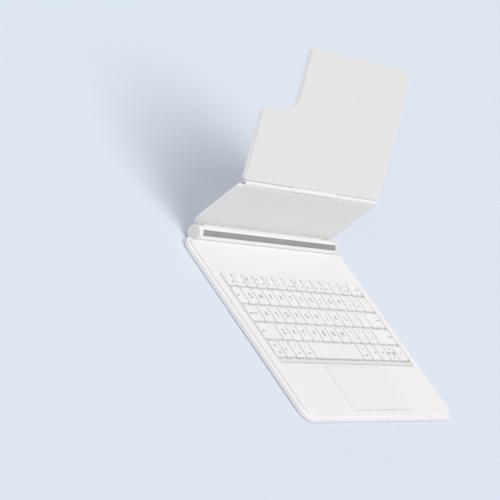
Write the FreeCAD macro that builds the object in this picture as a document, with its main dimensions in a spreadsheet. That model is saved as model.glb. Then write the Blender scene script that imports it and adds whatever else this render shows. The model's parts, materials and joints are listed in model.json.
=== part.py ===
import FreeCAD, Part
import os
import re
import Sketcher
from FreeCAD import Placement, Rotation, Vector

# Tablet keyboard case with a floating stand, in millimetres.
# X runs left to right, Y front to back, Z up. The origin is the middle of the underside.

# Driving dimensions
SIZES = [
    ("base_width", 260.0, "base, left to right"),
    ("base_reach", 188.0, "hinge axis to the front edge of the base"),
    ("lip_setback", 1.0, "hinge axis to the back edge of the tray"),
    ("corner_radius", 13.0, "corners of the base, seen from above"),
    ("edge_break", 0.7, "bevel round the tray and the panels"),
    ("rim_width", 3.6, "low rim round the raised deck"),
    ("rim_height", 4.2, "top of the rim above the table"),
    ("deck_thickness", 2.0, "raised deck above the rim"),
    ("deck_bevel", 0.5, "bevel round the top of the deck"),
    ("ledge_width", 3.0, "part of the tray wall that carries the deck"),
    ("floor_thickness", 1.2, "tray floor in the bays"),
    ("shelf_height", 2.0, "tray shelf under the key plate"),
    ("skin_thickness", 0.5, "soft sheets let into the outside"),
    ("skin_inset", 3.6, "edge to the seam of a soft sheet"),
    ("skin_gap", 0.3, "seam round a soft sheet"),
    ("skin_corner", 2.0, "small corners of the soft sheets"),
    ("hinge_height", 8.2, "hinge axis above the table"),
    ("barrel_inset", 13.0, "side of the base to the end of the hinge barrel"),
    ("cap_thickness", 1.2, "end caps of the barrel"),
    ("cap_bevel", 0.5, "bevel of the end caps"),
    ("cap_gap", 0.1, "end caps to the tray"),
    ("lug_width", 4.0, "tray lugs that hold the hinge core"),
    ("lug_gap", 0.3, "sleeve to lug, along the axis"),
    ("sleeve_radius", 6.2, "outside of the hinge barrel"),
    ("sleeve_wall", 1.2, "wall of the turning sleeve"),
    ("running_gap", 0.08, "turning parts on their shafts"),
    ("cradle_gap", 0.35, "tray to the turning sleeve"),
    ("slot_width", 5.4, "slot in the sleeve that shows the core"),
    ("slot_turn", 128.0, "direction of the slot on the sleeve, degrees"),
    ("pin_radius", 2.5, "pins at the ends of the hinge core"),
    ("pin_length", 3.0, "pins at the ends of the hinge core"),
    ("pin_gap", 0.05, "hinge core pins in the lugs"),
    ("clip_width", 12.0, "friction clips on the core"),
    ("clip_depth", 0.8, "groove of a friction clip"),
    ("clip_inset", 15.5, "end of the sleeve to a friction clip"),
    ("stand_inset", 15.0, "side of the base to the side of the stand"),
    ("panel_thickness", 4.0, "stand panels"),
    ("panel_gap", 0.4, "hinge barrel to the inner face of the lower panel"),
    ("panel_foot", 2.5, "lower panel below the hinge axis"),
    ("inner_skin", 0.6, "lining on the inner face of a panel"),
    ("lower_length", 58.0, "hinge axis to the fold axis along the panel"),
    ("upper_length", 118.0, "fold axis to the top of the upper panel"),
    ("lower_lean", 6.0, "lower panel forward from upright, degrees"),
    ("upper_lean", 35.0, "upper panel back from upright, degrees"),
    ("foot_radius", 16.0, "bottom corners of the lower panel"),
    ("top_radius", 9.0, "top corners of the upper panel"),
    ("fold_corner", 2.5, "panel corners at the fold"),
    ("notch_width", 52.0, "camera corner, across"),
    ("notch_height", 56.0, "camera corner, down"),
    ("notch_radius", 14.0, "inside of the camera corner"),
    ("notch_ends", 5.0, "outside ends of the camera corner"),
    ("knuckle_radius", 1.9, "fold hinge knuckles"),
    ("knuckle_room", 0.3, "fold hinge knuckles to the strip of the other leaf"),
    ("leaf_strip", 0.4, "strip that joins the knuckles of a leaf"),
    ("leaf_width", 2.4, "leaf strip and knuckle webs, front to back"),
    ("fold_pin_radius", 0.8, "pin of the fold hinge"),
    ("knuckle_gap", 0.3, "fold knuckles, along the axis"),
    ("magnet_width", 34.0, "magnets that hold the tablet, across"),
    ("magnet_height", 9.0, "magnets that hold the tablet, up"),
    ("magnet_depth", 1.6, "magnets that hold the tablet, thick"),
    ("magnet_inset", 38.0, "side of the stand to the outer magnets"),
    ("magnet_rise", 30.0, "fold axis to the magnets"),
    ("deck_side", 10.0, "deck between the rim and the key well"),
    ("well_setback", 39.7, "hinge axis to the back of the key well"),
    ("well_radius", 3.0, "corners of the key well"),
    ("well_margin", 1.0, "well wall to the keys at the sides"),
    ("well_back_margin", 0.8, "well wall to the keys at the back"),
    ("well_front_margin", 3.4, "well wall to the keys at the front"),
    ("plate_border", 3.0, "key plate outside the well"),
    ("plate_thickness", 1.65, "key plate under the keys"),
    ("membrane_thickness", 0.4, "switch membrane"),
    ("membrane_inset", 2.0, "membrane inside the well outline"),
    ("row_pitch", 18.3, "letter rows, back to front"),
    ("number_row_depth", 14.4, "number row, back to front"),
    ("key_gap", 1.3, "between keys"),
    ("key_rise", 0.2, "key tops above the deck"),
    ("key_thickness", 1.8, "key caps"),
    ("key_corner", 0.9, "cut corners of the key caps"),
    ("key_bevel", 0.3, "bevel round the key tops"),
    ("stem_size", 4.0, "square stem under a key"),
    ("stem_gap", 0.15, "stem to its guide in the key plate"),
    ("key_travel", 0.8, "key stroke"),
    ("press_gap", 0.5, "stem to the switch membrane with the key down"),
    ("first_units", 0.95, "first key of the number row, in letter keys"),
    ("number_units", 0.975, "number keys, in letter keys"),
    ("backspace_units", 1.195, "backspace key, in letter keys"),
    ("tab_units", 0.94, "tab key, in letter keys"),
    ("bracket_units", 0.968, "keys after the top letters, in letter keys"),
    ("caps_units", 1.32, "caps key, in letter keys"),
    ("return_units", 1.525, "return key, in letter keys"),
    ("left_shift_units", 1.82, "left shift key, in letter keys"),
    ("right_shift_units", 2.025, "right shift key, in letter keys"),
    ("modifier_units", 0.975, "keys beside the space bar, in letter keys"),
    ("space_units", 4.995, "space bar, in letter keys"),
    ("pad_width", 96.4, "trackpad, left to right"),
    ("pad_front", 8.4, "front edge of the base to the trackpad"),
    ("pad_setback", 3.5, "key well to the trackpad"),
    ("pad_gap", 0.4, "groove round the trackpad"),
    ("pad_radius", 2.5, "corners of the trackpad"),
    ("pad_sink", 0.15, "trackpad below the deck"),
    ("pad_thickness", 1.0, "trackpad plate"),
    ("pad_board", 0.6, "board under the trackpad plate"),
    ("pad_board_inset", 3.0, "trackpad plate to the edge of its board"),
    ("bracket_depth", 5.0, "bracket under the back of the trackpad"),
    ("bracket_width", 60.0, "bracket under the back of the trackpad"),
    ("bracket_gap", 0.1, "bracket to the trackpad plate"),
    ("switch_size", 5.0, "click switch under the trackpad"),
    ("switch_gap", 0.7, "click switch to the trackpad board"),
    ("switch_place", 6.0, "front of the trackpad to the click switch"),
    ("bay_gap", 0.3, "between a bay wall and what lies in it"),
    ("cell_side", 4.4, "inner wall of the base to a battery cell"),
    ("cell_inside", 8.8, "side of the trackpad to a battery cell"),
    ("cell_front", 10.6, "front edge of the trackpad to a battery cell"),
    ("cell_thickness", 2.4, "battery cell"),
    ("board_width", 70.0, "controller board, left to right"),
    ("board_depth", 14.0, "controller board, back to front"),
    ("board_thickness", 0.8, "controller board"),
    ("socket_setback", 21.0, "hinge axis to the charging socket"),
    ("socket_width", 9.0, "charging socket, across the wall"),
    ("socket_tall", 3.0, "charging socket, up the wall"),
    ("socket_gap", 0.1, "charging socket to the wall round it"),
    ("socket_shell", 0.3, "charging socket shell"),
    ("socket_height", 2.2, "charging socket middle above the table"),
    ("tongue_thickness", 0.7, "tongue inside the charging socket"),
    ("tongue_width", 6.6, "tongue inside the charging socket"),
    ("tongue_setback", 1.0, "mouth of the charging socket to its tongue"),
    ("lamp_radius", 0.8, "charge lamp"),
    ("lamp_spacing", 9.5, "charging socket to the charge lamp"),
    ("lamp_length", 4.0, "charge lamp light pipe"),
    ("flex_width", 12.0, "flat cables"),
    ("flex_thickness", 0.2, "flat cables"),
    ("closer_width", 24.0, "closing magnets, left to right"),
    ("closer_depth", 2.4, "closing magnets, back to front"),
    ("closer_height", 2.0, "closing magnets, tall"),
    ("closer_inset", 56.0, "side of the base to a closing magnet"),
    ("closer_setback", 3.2, "deck ledge to a closing magnet"),
]
NAMES = {name for name, number, note in SIZES}

doc = FreeCAD.newDocument("tablet_keyboard_case")
sheet = doc.addObject("Spreadsheet::Sheet", "Sizes")
for row, (name, number, note) in enumerate(SIZES, start=1):
    sheet.set("A%d" % row, note)
    sheet.set("B%d" % row, str(number))
    sheet.setAlias("B%d" % row, name)
doc.recompute()

PIECES = []

# Closeness of two places, in millimetres, and of two directions
SAME_PLACE = 1e-3
PARALLEL = 1e-6

# Places worked out from the driving dimensions
BASE_DEPTH = "(base_reach - lip_setback)"
FRONT_Y = "(-%s / 2)" % BASE_DEPTH
BACK_Y = "(%s / 2)" % BASE_DEPTH
HINGE_Y = "(%s + lip_setback)" % BACK_Y
BARREL_WIDTH = "(base_width - 2 * barrel_inset)"
STAND_WIDTH = "(base_width - 2 * stand_inset)"
DECK_TOP = "(rim_height + deck_thickness)"
DECK_BACK_Y = "(%s - sleeve_radius - 2 * cradle_gap)" % HINGE_Y
DECK_FRONT_Y = "(%s + rim_width)" % FRONT_Y
CAVITY_SIDE = "(rim_width + ledge_width)"
WELL_WIDTH = "(base_width - 2 * (rim_width + deck_side))"
LETTER_ROWS = 4
WELL_DEPTH = ("(well_back_margin + number_row_depth + %d * row_pitch + well_front_margin)" % LETTER_ROWS)
WELL_BACK_Y = "(%s - well_setback)" % HINGE_Y
WELL_FRONT_Y = "(%s - %s)" % (WELL_BACK_Y, WELL_DEPTH)
PLATE_TOP = "(shelf_height + plate_thickness)"
LUG_OUT = "(%s / 2 - cap_thickness)" % BARREL_WIDTH
LUG_IN = "(%s - lug_width)" % LUG_OUT
SLEEVE_HALF = "(%s - lug_gap)" % LUG_IN
CLIP_X = "(%s - clip_inset - clip_width / 2)" % SLEEVE_HALF
CORE_RADIUS = "(sleeve_radius - sleeve_wall - running_gap)"
GROOVE_RADIUS = "(%s - clip_depth)" % CORE_RADIUS
PAD_FRONT_Y = "(%s + pad_front)" % FRONT_Y
PAD_BACK_Y = "(%s - pad_setback)" % WELL_FRONT_Y
PAD_TOP = "(%s - pad_sink)" % DECK_TOP
PAD_UNDER = "(%s - pad_thickness)" % PAD_TOP
PANEL_OFFSET = "(sleeve_radius + panel_gap)"
FOLD_GAP = "(knuckle_radius + knuckle_room + leaf_strip)"
FOLD_ARM = "(%s + panel_thickness / 2)" % PANEL_OFFSET
FOLD_Y = ("(%s + %s * cos(lower_lean * 1deg) - lower_length * sin(lower_lean * 1deg))"
          % (HINGE_Y, FOLD_ARM))
FOLD_Z = ("(hinge_height + %s * sin(lower_lean * 1deg) + lower_length * cos(lower_lean * 1deg))"
          % FOLD_ARM)
SOCKET_Y = "(%s - socket_setback)" % HINGE_Y
BOARD_RIGHT = "(base_width / 2 - %s)" % CAVITY_SIDE
FLEX_X = "(%s - board_width / 2)" % BOARD_RIGHT
CELL_IN = "(pad_width / 2 + cell_inside)"
CELL_OUT = "(base_width / 2 - %s - cell_side)" % CAVITY_SIDE
CELL_FRONT_Y = "(%s + cell_front)" % PAD_FRONT_Y


def size(name):
    """Read a driving dimension from the sheet."""
    return float(sheet.get(name))


def bind(item, prop, formula):
    """Tie a property to a formula written in the words of the sheet."""
    item.setExpression(prop, re.sub(
        r"[a-z_]+", lambda word: "Sizes." + word.group(0) if word.group(0) in NAMES else word.group(0),
        formula))


def bind_place(item, x, y, z, turn=None):
    """Tie an object's place, and its turn about X, to formulas."""
    if turn:
        item.Placement = Placement(Vector(), Rotation(Vector(1, 0, 0), 1.0))
        bind(item, "Placement.Rotation.Angle", turn)
    for axis, formula in zip("xyz", (x, y, z)):
        bind(item, "Placement.Base." + axis, formula)


def keep(item, label):
    """Name an object and list it as a piece to be written out."""
    item.Label = label
    PIECES.append(item)
    return item


def new_body(label, x="0", y="0", z="0", turn=None):
    body = doc.addObject("PartDesign::Body", label)
    body.Label = label
    bind_place(body, x, y, z, turn)
    return body


def new_sketch(body, role, offset=("0", "0", "0"), turn=None):
    """Attach a sketch to one of the body's own origin planes."""
    sketch = body.newObject("Sketcher::SketchObject", "Sketch")
    planes = [plane for plane in body.Origin.OriginFeatures if plane.Role == role]
    sketch.AttachmentSupport = [(planes[0], "")]
    sketch.MapMode = "FlatFace"
    if turn:
        sketch.AttachmentOffset = Placement(Vector(), Rotation(Vector(0, 0, 1), 1.0))
        bind(sketch, "AttachmentOffset.Rotation.Angle", turn)
    for axis, formula in zip("xyz", offset):
        bind(sketch, "AttachmentOffset.Base." + axis, formula)
    return sketch


def polygon(sketch, corners):
    """Draw a closed outline whose corners are tied to formulas."""
    count = len(corners)
    ring = [Vector(1, 0, 0), Vector(0, 1, 0), Vector(-1, 0, 0), Vector(0, -1, 0)]
    spread = [ring[index % 4] * (1 + index) for index in range(count)]
    for index in range(count):
        sketch.addGeometry(Part.LineSegment(spread[index], spread[(index + 1) % count]), False)
    for index in range(count):
        sketch.addConstraint(Sketcher.Constraint("Coincident", index, 2, (index + 1) % count, 1))
    for index, corner in enumerate(corners):
        for kind, start, formula in zip(("DistanceX", "DistanceY"), spread[index], corner):
            place = sketch.addConstraint(Sketcher.Constraint(kind, -1, 1, index, 1, start))
            bind(sketch, "Constraints[%d]" % place, formula)


def oblong(sketch, left, right, low, high):
    polygon(sketch, [(left, low), (right, low), (right, high), (left, high)])


def circles(sketch, *radii):
    """Draw circles round the sketch's own origin."""
    for index, formula in enumerate(radii):
        sketch.addGeometry(Part.Circle(Vector(), Vector(0, 0, 1), 1.0 + index), False)
        sketch.addConstraint(Sketcher.Constraint("Coincident", index, 3, -1, 1))
        place = sketch.addConstraint(Sketcher.Constraint("Radius", index, 1.0 + index))
        bind(sketch, "Constraints[%d]" % place, formula)


def pad(body, sketch, length):
    feature = body.newObject("PartDesign::Pad", "Pad")
    feature.Profile = sketch
    bind(feature, "Length", length)
    doc.recompute()
    return feature


def pocket(body, sketch, length, along_normal=False):
    """Cut a sketch into the body and make sure that something came off."""
    before = body.Tip.Shape.Volume
    feature = body.newObject("PartDesign::Pocket", "Pocket")
    feature.Profile = sketch
    feature.Reversed = along_normal
    bind(feature, "Length", length)
    doc.recompute()
    if feature.Shape.Volume >= before:
        raise RuntimeError("a pocket of %s cut nothing" % body.Label)
    return feature


def straight_edges(shape, axis):
    """The straight edges of a shape that run along an axis."""
    return [edge for edge in shape.Edges if edge.Curve.TypeId == "Part::GeomLine"
            and edge.tangentAt(edge.FirstParameter).cross(axis).Length < PARALLEL]


def edges_along(shape, axis, test):
    """Names of the straight edges along an axis whose middle passes a test."""
    wanted = [edge for edge in straight_edges(shape, axis) if test(edge.CenterOfMass)]
    return ["Edge%d" % index for index, edge in enumerate(shape.Edges, start=1)
            if any(edge.isSame(other) for other in wanted)]


def dress(body, kind, prop, names, formula):
    """Fillet or chamfer named edges or faces of the body's tip."""
    base = body.Tip
    feature = body.newObject("PartDesign::" + kind, kind)
    feature.Base = (base, names)
    bind(feature, prop, formula)
    doc.recompute()
    return feature


def round_edges(body, axis, test, radius):
    dress(body, "Fillet", "Radius", edges_along(body.Tip.Shape, axis, test), radius)


def bevel_face(body, direction, amount):
    """Bevel all edges of the outermost flat face in a direction."""
    faces = enumerate(body.Tip.Shape.Faces, start=1)
    flat = [(face.CenterOfMass.dot(direction), index) for index, face in faces
            if face.Surface.TypeId == "Part::GeomPlane"
            and face.normalAt(0, 0).cross(direction).Length < PARALLEL]
    dress(body, "Chamfer", "Size", ["Face%d" % max(flat)[1]], amount)


def block(label, length, width, height, x, y, z):
    """A plain box whose lowest corner is at x, y, z."""
    box = doc.addObject("Part::Box", label)
    bind(box, "Length", length)
    bind(box, "Width", width)
    bind(box, "Height", height)
    bind_place(box, x, y, z)
    return box


def group(label, items):
    """Several separate solids that make one piece."""
    compound = doc.addObject("Part::Compound", label)
    compound.Links = items
    return keep(compound, label)


def cut_piece(label, base, tool):
    """A piece that is one shape less another."""
    cut = doc.addObject("Part::Cut", label)
    cut.Base = base
    cut.Tool = tool
    return keep(cut, label)


def anywhere(point):
    return True


def is_near(point, places):
    """Whether a point is one of some places."""
    return min(point.distanceToPoint(place) for place in places) < SAME_PLACE


UP = Vector(0, 0, 1)
BACK = Vector(0, 1, 0)
RIGHT = Vector(1, 0, 0)


# Base tray
def make_tray():
    tray = new_body("TrayBlank")
    outline = new_sketch(tray, "XY_Plane")
    oblong(outline, "-base_width / 2", "base_width / 2", FRONT_Y, BACK_Y)
    pad(tray, outline, "rim_height")
    round_edges(tray, UP, anywhere, "corner_radius")
    bevel_face(tray, UP, "edge_break")
    bevel_face(tray, -UP, "edge_break")
    for side in ("-", ""):
        lug = new_sketch(tray, "YZ_Plane", (HINGE_Y, "hinge_height", "-%s" % LUG_OUT if side else LUG_IN))
        circles(lug, "sleeve_radius")
        pad(tray, lug, "lug_width")
        bore = new_sketch(tray, "YZ_Plane", (HINGE_Y, "hinge_height", "-%s" % LUG_IN if side else LUG_IN))
        circles(bore, "pin_radius + pin_gap")
        pocket(tray, bore, "pin_length + lug_gap", along_normal=not side)
    cradle = new_sketch(tray, "YZ_Plane", (HINGE_Y, "hinge_height", LUG_IN))
    circles(cradle, "sleeve_radius + cradle_gap")
    pocket(tray, cradle, "2 * %s" % LUG_IN)
    for side in ("-", ""):
        seat = new_sketch(tray, "YZ_Plane", (HINGE_Y, "hinge_height", side + LUG_OUT))
        circles(seat, "sleeve_radius + cap_gap")
        pocket(tray, seat, "cap_thickness + lug_gap", along_normal=not side)
    bays = [
        ("%s - base_width / 2" % CAVITY_SIDE, "base_width / 2 - %s" % CAVITY_SIDE,
         "%s + %s" % (FRONT_Y, CAVITY_SIDE), "%s - ledge_width" % DECK_BACK_Y, "shelf_height"),
        ("membrane_inset - %s / 2" % WELL_WIDTH, "%s / 2 - membrane_inset" % WELL_WIDTH,
         "%s + membrane_inset" % WELL_FRONT_Y, "%s - membrane_inset" % WELL_BACK_Y, "floor_thickness"),
        ("%s - board_width - bay_gap" % BOARD_RIGHT, BOARD_RIGHT,
         "%s - board_depth / 2 - bay_gap" % SOCKET_Y, "%s + board_depth / 2 + bay_gap" % SOCKET_Y,
         "floor_thickness"),
        ("%s - flex_width / 2 - bay_gap" % FLEX_X, "%s + flex_width / 2 + bay_gap" % FLEX_X,
         "%s - 2 * membrane_inset" % WELL_BACK_Y, "%s - board_depth / 2" % SOCKET_Y, "floor_thickness"),
    ]
    for left, right in (("-" + CELL_OUT, "-" + CELL_IN), (CELL_IN, CELL_OUT)):
        bays.append((left + " - bay_gap", right + " + bay_gap", CELL_FRONT_Y + " - bay_gap",
                     PAD_BACK_Y + " + bay_gap", "floor_thickness"))
    for left, right, low, high, floor in bays:
        bay = new_sketch(tray, "XY_Plane", ("0", "0", "rim_height"))
        oblong(bay, left, right, low, high)
        pocket(tray, bay, "rim_height - " + floor)
    end_shift = "(socket_width - socket_tall) / 2"
    mouth = new_sketch(tray, "YZ_Plane", (SOCKET_Y, "socket_height", "base_width / 2"))
    oblong(mouth, "-" + end_shift, end_shift, "-socket_tall / 2", "socket_tall / 2")
    pocket(tray, mouth, CAVITY_SIDE)
    for side in ("-", "+"):
        mouth_end = new_sketch(tray, "YZ_Plane", ("%s %s %s" % (SOCKET_Y, side, end_shift), "socket_height",
                                                  "base_width / 2"))
        circles(mouth_end, "socket_tall / 2")
        pocket(tray, mouth_end, CAVITY_SIDE)
    lamp = new_sketch(tray, "YZ_Plane", ("%s - lamp_spacing" % SOCKET_Y, "socket_height", "base_width / 2"))
    circles(lamp, "lamp_radius")
    pocket(tray, lamp, "lamp_length")
    cut_piece("base_tray", tray, under_sheet("UnderRecess", "skin_inset"))
    keep(under_sheet("base_under_skin", "(skin_inset + skin_gap)"), "base_under_skin")


def under_sheet(label, inset):
    """A rounded sheet under the base, drawn in from its edge by an inset."""
    skin = new_body(label)
    outline = new_sketch(skin, "XY_Plane")
    oblong(outline, "%s - base_width / 2" % inset, "base_width / 2 - %s" % inset,
           "%s + %s" % (FRONT_Y, inset), "%s - skin_inset - %s" % (DECK_BACK_Y, inset))
    pad(skin, outline, "skin_thickness")
    round_edges(skin, UP, anywhere, "corner_radius - skin_inset")
    return skin


# Raised deck with the key well and the trackpad window
def make_deck():
    deck = new_body("deck_cover")
    outline = new_sketch(deck, "XY_Plane", ("0", "0", "rim_height"))
    oblong(outline, "rim_width - base_width / 2", "base_width / 2 - rim_width", DECK_FRONT_Y, DECK_BACK_Y)
    pad(deck, outline, "deck_thickness")
    round_edges(deck, UP, lambda point: point.y < 0, "corner_radius - rim_width")
    round_edges(deck, UP, lambda point: point.y > 0, "(corner_radius - rim_width) / 2")
    bevel_face(deck, UP, "deck_bevel")
    windows = [
        ("%s / 2" % WELL_WIDTH, WELL_FRONT_Y, WELL_BACK_Y, "well_radius"),
        ("pad_width / 2 + pad_gap", "%s - pad_gap" % PAD_FRONT_Y, "%s + pad_gap" % PAD_BACK_Y,
         "pad_radius + pad_gap"),
    ]
    for half, low, high, radius in windows:
        before = [edge.CenterOfMass for edge in deck.Tip.Shape.Edges]
        window = new_sketch(deck, "XY_Plane", ("0", "0", DECK_TOP))
        oblong(window, "-(%s)" % half, half, low, high)
        pocket(deck, window, "deck_thickness")
        round_edges(deck, UP, lambda point: not is_near(point, before), radius)
    keep(deck, "deck_cover")


# Key rows: each entry is a key's name, or None for a character key, and its width in letter keys.
# The keys of a row share its length in these proportions.
ROWS = [
    ("number_row_keys", [(None, "first_units")] + [(None, "number_units")] * 12
     + [("key_backspace", "backspace_units")]),
    ("top_row_keys", [("key_tab", "tab_units")] + [(None, "1")] * 10 + [(None, "bracket_units")] * 3),
    ("home_row_keys", [("key_caps", "caps_units")] + [(None, "1")] * 11 + [("key_return", "return_units")]),
    ("bottom_row_keys", [("key_shift_left", "left_shift_units")] + [(None, "1")] * 10
     + [("key_shift_right", "right_shift_units")]),
    (None, [("key_modifier_1", "modifier_units"), ("key_modifier_2", "modifier_units"),
            ("key_modifier_3", "modifier_units"), ("key_modifier_4", "modifier_units"),
            ("key_space", "space_units"), ("key_modifier_5", "modifier_units"),
            ("key_modifier_6", "modifier_units"), ("key_arrow_left", "1"), ("key_arrow_pair", "1"),
            ("key_arrow_right", "1")]),
]
KEY_TOP = "(%s + key_rise)" % DECK_TOP
KEY_UNDER = "(%s - key_thickness)" % KEY_TOP
STEM_FOOT = "(floor_thickness + membrane_thickness + press_gap + key_travel)"


def key_cells():
    """List every key as its node or row, its name, its left edge, width, front edge and depth."""
    cells = []
    back = "%s - well_back_margin" % WELL_BACK_Y
    for index, (row_label, entries) in enumerate(ROWS):
        depth = "row_pitch" if index else "number_row_depth"
        front = "(%s - number_row_depth - %d * row_pitch)" % (back, index)
        total = " + ".join(units for name, units in entries)
        letter_key = "((%s - 2 * well_margin) / (%s))" % (WELL_WIDTH, total)
        left = "well_margin - %s / 2" % WELL_WIDTH
        for name, units in entries:
            width = "%s * %s" % (units, letter_key)
            if name == "key_arrow_pair":
                half = "(%s / 2)" % depth
                cells.append((row_label, "key_arrow_down", left, width, front, half))
                cells.append((row_label, "key_arrow_up", left, width, "(%s + %s)" % (front, half), half))
            else:
                cells.append((row_label, name, left, width, front, depth))
            left = "%s + %s" % (left, width)
    return cells


UPRIGHT_EDGES = (1, 3, 5, 7)


def cut_edges(base, names, amount):
    """Cut a bevel on numbered edges of a shape."""
    beveled = doc.addObject("Part::Chamfer", "KeyBevel")
    beveled.Base = base
    beveled.Edges = [(edge, size(amount), size(amount)) for edge in names]
    doc.recompute([beveled])
    return beveled


def soften_key(cap):
    """Cut the corners of a key cap and bevel the edge of its top."""
    cornered = cut_edges(cap, UPRIGHT_EDGES, "key_corner")
    top = cornered.Shape.BoundBox.ZMax
    rim = [index for index, edge in enumerate(cornered.Shape.Edges, start=1)
           if edge.BoundBox.ZMin > top - size("key_bevel")]
    return cut_edges(cornered, rim, "key_bevel")


def make_keys():
    """Make the 64 keys and the guide holes for their stems."""
    rows = {}
    guides = []
    for row_label, name, left, width, front, depth in key_cells():
        cap = block("KeyCap", "%s - key_gap" % width, "%s - key_gap" % depth, "key_thickness",
                    "%s + key_gap / 2" % left, "%s + key_gap / 2" % front, KEY_UNDER)
        stem_left = "%s + %s / 2 - stem_size / 2" % (left, width)
        stem_front = "%s + %s / 2 - stem_size / 2" % (front, depth)
        stem = block("KeyStem", "stem_size", "stem_size", "%s - %s" % (KEY_UNDER, STEM_FOOT),
                     stem_left, stem_front, STEM_FOOT)
        guides.append(block("StemGuide", "stem_size + 2 * stem_gap", "stem_size + 2 * stem_gap",
                            "2 * plate_thickness", "%s - stem_gap" % stem_left,
                            "%s - stem_gap" % stem_front, "shelf_height - plate_thickness / 2"))
        doc.recompute([cap])
        key = doc.addObject("Part::Fuse", "Key")
        key.Base = soften_key(cap)
        key.Tool = stem
        if name:
            keep(key, name)
        else:
            rows.setdefault(row_label, []).append(key)
    for row_label, keys in rows.items():
        group(row_label, keys)
    return guides


def make_key_plate(guides):
    """Plate with a border that closes the well's wall and a guide hole for each stem."""
    plate = new_body("KeyPlateBlank")
    outline = new_sketch(plate, "XY_Plane", ("0", "0", "shelf_height"))
    oblong(outline, "-(%s / 2 + plate_border)" % WELL_WIDTH, "%s / 2 + plate_border" % WELL_WIDTH,
           "%s - plate_border" % WELL_FRONT_Y, "%s + plate_border" % WELL_BACK_Y)
    pad(plate, outline, "rim_height - shelf_height")
    well = new_sketch(plate, "XY_Plane", ("0", "0", "rim_height"))
    oblong(well, "-%s / 2" % WELL_WIDTH, "%s / 2" % WELL_WIDTH, WELL_FRONT_Y, WELL_BACK_Y)
    pocket(plate, well, "rim_height - %s" % PLATE_TOP)
    holes = doc.addObject("Part::Compound", "StemGuides")
    holes.Links = guides
    cut_piece("key_plate", plate, holes)
    inset = "(membrane_inset + bay_gap)"
    keep(block("membrane_sheet", "%s - 2 * %s" % (WELL_WIDTH, inset), "%s - 2 * %s" % (WELL_DEPTH, inset),
               "membrane_thickness", "%s - %s / 2" % (inset, WELL_WIDTH), "%s + %s" % (WELL_FRONT_Y, inset),
               "floor_thickness"), "membrane_sheet")


# Trackpad and what carries it
def make_trackpad():
    surface = new_body("trackpad_surface")
    outline = new_sketch(surface, "XY_Plane", ("0", "0", PAD_UNDER))
    oblong(outline, "-pad_width / 2", "pad_width / 2", PAD_FRONT_Y, PAD_BACK_Y)
    pad(surface, outline, "pad_thickness")
    round_edges(surface, UP, anywhere, "pad_radius")
    keep(surface, "trackpad_surface")
    board_front = "(%s + pad_board_inset)" % PAD_FRONT_Y
    keep(block("trackpad_board", "pad_width - 2 * pad_board_inset",
               "%s - %s - 2 * pad_board_inset - bracket_depth" % (PAD_BACK_Y, PAD_FRONT_Y), "pad_board",
               "pad_board_inset - pad_width / 2", board_front, "%s - pad_board" % PAD_UNDER), "trackpad_board")
    keep(block("trackpad_bracket", "bracket_width", "bracket_depth",
               "%s - bracket_gap - shelf_height" % PAD_UNDER, "-bracket_width / 2",
               "%s - bracket_depth" % PAD_BACK_Y, "shelf_height"), "trackpad_bracket")
    keep(block("click_switch", "switch_size", "switch_size",
               "%s - pad_board - switch_gap - shelf_height" % PAD_UNDER, "-switch_size / 2",
               "%s + switch_place" % PAD_FRONT_Y, "shelf_height"), "click_switch")
    keep(block("trackpad_flex", "flex_width", "%s - plate_border - %s" % (WELL_FRONT_Y, board_front),
               "flex_thickness", "bracket_width / 2", board_front, "shelf_height"), "trackpad_flex")


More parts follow.
